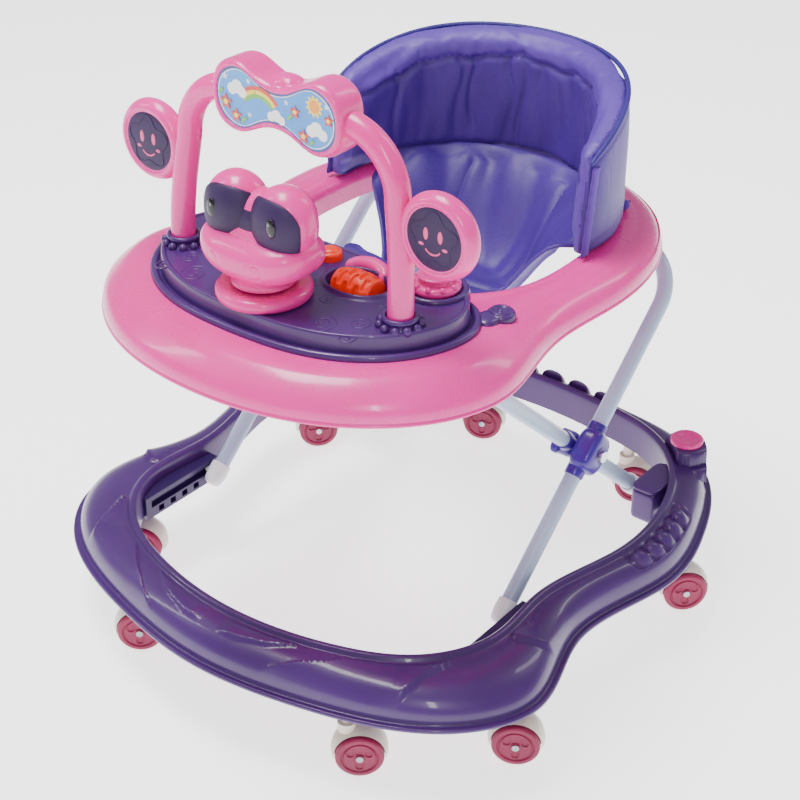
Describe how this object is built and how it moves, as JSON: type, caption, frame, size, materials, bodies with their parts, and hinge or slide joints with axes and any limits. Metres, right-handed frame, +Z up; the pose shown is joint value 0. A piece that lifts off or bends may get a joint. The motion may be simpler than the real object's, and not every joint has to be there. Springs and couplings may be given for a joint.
{
  "type": "baby walker",
  "caption": "Folding baby walker: caster base ring, crossed tube frame, toy tray with play arch and a padded sling seat.",
  "frame": {"origin": "on the floor, under the middle of the footprint", "axes": "+Z up, -Y the way the child faces (toy tray side), +X to the right as seen from the front of the toy tray looking along +Y; x = 0 is the plane of symmetry of the base, frame and tray"},
  "size_m": [0.6006, 0.6487, 0.6411],
  "materials": {
    "purple_gloss": "gloss moulded",
    "dark_purple": "satin moulded",
    "pink_gloss": "gloss moulded",
    "caster_pink": "satin moulded",
    "cream_plastic": "satin moulded",
    "violet_plastic": "gloss moulded",
    "white_plastic": "satin moulded",
    "orange_plastic": "gloss moulded",
    "black_gloss": "gloss",
    "label_print": "printed film",
    "tube_paint": "pale blue-grey powder coat",
    "steel": "zinc plated",
    "chrome": "polished",
    "seat_fabric": "satin nylon over foam"
  },
  "bodies": {
    "base": {"base_shell": "purple_gloss", "corner_caps": "pink_gloss", "pivot_brackets": "dark_purple", "pivot_pins": "steel", "height_rail_left": "dark_purple", "height_rail_right": "dark_purple"},
    "rear_leg": {"rear_leg_tube": "tube_paint", "cross_clips": "violet_plastic", "pivot_feet": "white_plastic"},
    "front_leg": {"front_leg_tube": "tube_paint", "cross_clamp_left": "violet_plastic", "cross_clamp_right": "violet_plastic", "cross_bolts": "chrome", "rail_feet": "white_plastic"},
    "tray": {"tray_ring": "pink_gloss", "rear_saddles": "dark_purple", "front_guides": "dark_purple", "toy_tray": "purple_gloss", "roller_axles": "steel", "toy_head_plinth": "pink_gloss", "arch_tube": "pink_gloss", "picture_box": "pink_gloss", "picture_label": "label_print", "medallion_rims": "pink_gloss", "medallion_faces": "purple_gloss", "seat_back": "seat_fabric", "seat_sling": "seat_fabric", "button_spring": "steel"},
    "head": {"toy_head": "pink_gloss", "toy_head_mask": "purple_gloss", "toy_head_pupils": "black_gloss"},
    "roller_l": {"roller_left": "orange_plastic"},
    "roller_r": {"roller_right": "orange_plastic"},
    "dial_l": {"dial_left": "pink_gloss"},
    "dial_r": {"dial_right": "pink_gloss"},
    "button": {"centre_button": "orange_plastic"},
    "caster_front_left": {"caster_hood_front_left": "cream_plastic", "caster_axle_front_left": "steel"},
    "wheels_front_left": {"caster_wheels_front_left": "caster_pink"},
    "caster_front_right": {"caster_hood_front_right": "cream_plastic", "caster_axle_front_right": "steel"},
    "wheels_front_right": {"caster_wheels_front_right": "caster_pink"},
    "caster_bulge_left": {"caster_hood_bulge_left": "cream_plastic", "caster_axle_bulge_left": "steel"},
    "wheels_bulge_left": {"caster_wheels_bulge_left": "caster_pink"},
    "caster_bulge_right": {"caster_hood_bulge_right": "cream_plastic", "caster_axle_bulge_right": "steel"},
    "wheels_bulge_right": {"caster_wheels_bulge_right": "caster_pink"},
    "caster_side_left": {"caster_hood_side_left": "cream_plastic", "caster_axle_side_left": "steel"},
    "wheels_side_left": {"caster_wheels_side_left": "caster_pink"},
    "caster_side_right": {"caster_hood_side_right": "cream_plastic", "caster_axle_side_right": "steel"},
    "wheels_side_right": {"caster_wheels_side_right": "caster_pink"},
    "caster_rear_left": {"caster_hood_rear_left": "cream_plastic", "caster_axle_rear_left": "steel"},
    "wheels_rear_left": {"caster_wheels_rear_left": "caster_pink"},
    "caster_rear_right": {"caster_hood_rear_right": "cream_plastic", "caster_axle_rear_right": "steel"},
    "wheels_rear_right": {"caster_wheels_rear_right": "caster_pink"}
  },
  "joints": [
    {"name": "frame_fold", "type": "hinge", "parent": "base", "child": "rear_leg", "pos_m": [0, 0.1896, 0.097], "axis": [1, 0, 0], "range_deg": [0, 28]},
    {"name": "scissor_turn", "type": "hinge", "parent": "rear_leg", "child": "front_leg", "pos_m": [0, 0.05435, 0.21878], "axis": [1, 0, 0], "range_deg": [-56, 0]},
    {"name": "tray_level", "type": "hinge", "parent": "front_leg", "child": "tray", "pos_m": [0, 0.22379, 0.37134], "axis": [1, 0, 0], "range_deg": [0, 28]},
    {"name": "head_turn", "type": "hinge", "parent": "tray", "child": "head", "pos_m": [0, -0.1974, 0.45], "axis": [0, 0, 1], "range_deg": [-40, 40]},
    {"name": "roller_left_spin", "type": "hinge", "parent": "tray", "child": "roller_l", "pos_m": [-0.056, -0.1324, 0.433], "axis": [1, 0, 0], "continuous": true},
    {"name": "roller_right_spin", "type": "hinge", "parent": "tray", "child": "roller_r", "pos_m": [0.056, -0.1324, 0.433], "axis": [1, 0, 0], "continuous": true},
    {"name": "dial_left_turn", "type": "hinge", "parent": "tray", "child": "dial_l", "pos_m": [-0.118, -0.0954, 0.44], "axis": [0, 0, 1], "continuous": true},
    {"name": "dial_right_turn", "type": "hinge", "parent": "tray", "child": "dial_r", "pos_m": [0.118, -0.0954, 0.44], "axis": [0, 0, 1], "continuous": true},
    {"name": "button_press", "type": "slide", "parent": "tray", "child": "button", "axis": [0, 0, -1], "range_m": [0, 0.004], "stiffness_N_per_m": 400, "springref_m": -0.002, "deforming": ["button_spring"]},
    {"name": "swivel_front_left", "type": "hinge", "parent": "base", "child": "caster_front_left", "pos_m": [-0.15, -0.2694, 0.08], "axis": [0, 0, 1], "continuous": true},
    {"name": "spin_front_left", "type": "hinge", "parent": "caster_front_left", "child": "wheels_front_left", "pos_m": [-0.14081, -0.26169, 0.024], "axis": [0.6428, -0.766, 0], "continuous": true},
    {"name": "swivel_front_right", "type": "hinge", "parent": "base", "child": "caster_front_right", "pos_m": [0.15, -0.2694, 0.08], "axis": [0, 0, 1], "continuous": true},
    {"name": "spin_front_right", "type": "hinge", "parent": "caster_front_right", "child": "wheels_front_right", "pos_m": [0.15919, -0.26169, 0.024], "axis": [0.6428, -0.766, 0], "continuous": true},
    {"name": "swivel_bulge_left", "type": "hinge", "parent": "base", "child": "caster_bulge_left", "pos_m": [-0.258, -0.1614, 0.08], "axis": [0, 0, 1], "continuous": true},
    {"name": "spin_bulge_left", "type": "hinge", "parent": "caster_bulge_left", "child": "wheels_bulge_left", "pos_m": [-0.24782, -0.15504, 0.024], "axis": [0.5299, -0.848, 0], "continuous": true},
    {"name": "swivel_bulge_right", "type": "hinge", "parent": "base", "child": "caster_bulge_right", "pos_m": [0.258, -0.1614, 0.08], "axis": [0, 0, 1], "continuous": true},
    {"name": "spin_bulge_right", "type": "hinge", "parent": "caster_bulge_right", "child": "wheels_bulge_right", "pos_m": [0.26818, -0.15504, 0.024], "axis": [0.5299, -0.848, 0], "continuous": true},
    {"name": "swivel_side_left", "type": "hinge", "parent": "base", "child": "caster_side_left", "pos_m": [-0.263, 0.1446, 0.08], "axis": [0, 0, 1], "continuous": true},
    {"name": "spin_side_left", "type": "hinge", "parent": "caster_side_left", "child": "wheels_side_left", "pos_m": [-0.25466, 0.15323, 0.024], "axis": [0.7193, -0.6947, 0], "continuous": true},
    {"name": "swivel_side_right", "type": "hinge", "parent": "base", "child": "caster_side_right", "pos_m": [0.263, 0.1446, 0.08], "axis": [0, 0, 1], "continuous": true},
    {"name": "spin_side_right", "type": "hinge", "parent": "caster_side_right", "child": "wheels_side_right", "pos_m": [0.27134, 0.15323, 0.024], "axis": [0.7193, -0.6947, 0], "continuous": true},
    {"name": "swivel_rear_left", "type": "hinge", "parent": "base", "child": "caster_rear_left", "pos_m": [-0.112, 0.2916, 0.08], "axis": [0, 0, 1], "continuous": true},
    {"name": "spin_rear_left", "type": "hinge", "parent": "caster_rear_left", "child": "wheels_rear_left", "pos_m": [-0.1014, 0.29723, 0.024], "axis": [0.4695, -0.8829, 0], "continuous": true},
    {"name": "swivel_rear_right", "type": "hinge", "parent": "base", "child": "caster_rear_right", "pos_m": [0.112, 0.2916, 0.08], "axis": [0, 0, 1], "continuous": true},
    {"name": "spin_rear_right", "type": "hinge", "parent": "caster_rear_right", "child": "wheels_rear_right", "pos_m": [0.12259, 0.29723, 0.024], "axis": [0.4695, -0.8829, 0], "continuous": true}
  ],
  "couplings": [
    {"joint": "scissor_turn", "follows": "frame_fold", "ratio": -2},
    {"joint": "tray_level", "follows": "frame_fold", "ratio": 1}
  ]
}
